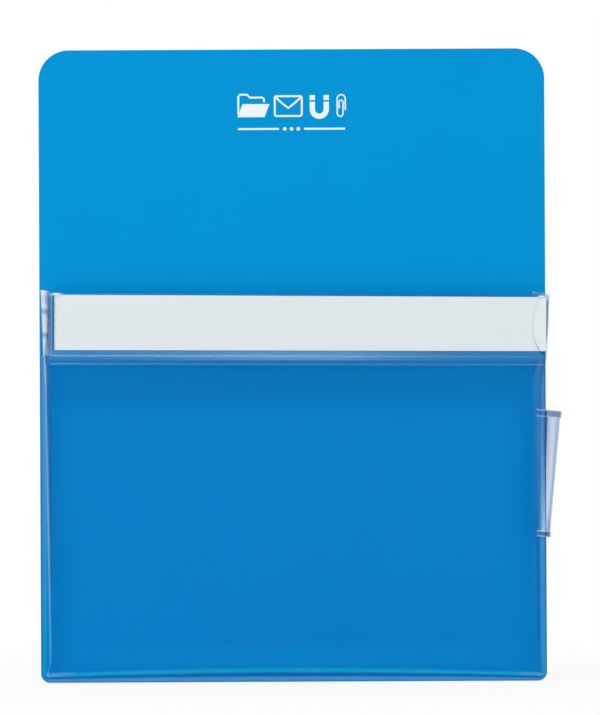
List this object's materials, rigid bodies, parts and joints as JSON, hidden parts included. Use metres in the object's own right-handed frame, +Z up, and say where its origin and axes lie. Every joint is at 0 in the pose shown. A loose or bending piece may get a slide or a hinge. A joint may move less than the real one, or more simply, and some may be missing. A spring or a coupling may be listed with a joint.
{
  "type": "magnetic document pocket",
  "caption": "Upright wall pocket for A4 papers: blue sheet, clear front with a folded label sleeve and sliding card, tapered clear pen sleeve, rubber magnet strips on the back.",
  "frame": {"origin": "middle of the middle magnet strip's face on the steel surface", "axes": "+Z up along the sheet, +Y from the magnets into the steel surface, +X to the right as seen from the front"},
  "size_m": [0.2473, 0.0127, 0.3],
  "materials": {
    "blue_sheet": "satin soft sheet",
    "clear_film": "clear soft film with a faint blue tint",
    "white_card": "uncoated white card",
    "magnet_rubber": "matt magnet rubber",
    "tape": "double-sided tape"
  },
  "bodies": {
    "root": {"back_sheet": "blue_sheet", "front_panel": "clear_film", "index_sleeve": "clear_film", "pen_sleeve": "clear_film", "top_magnet": "magnet_rubber", "middle_magnet": "magnet_rubber", "bottom_magnet": "magnet_rubber", "top_tape": "tape", "middle_tape": "tape", "bottom_tape": "tape"},
    "card": {"label_card": "white_card"}
  },
  "joints": [
    {"name": "card_slide", "type": "slide", "parent": "root", "child": "card", "axis": [1, 0, -0.0079], "range_m": [0, 0.2]}
  ]
}
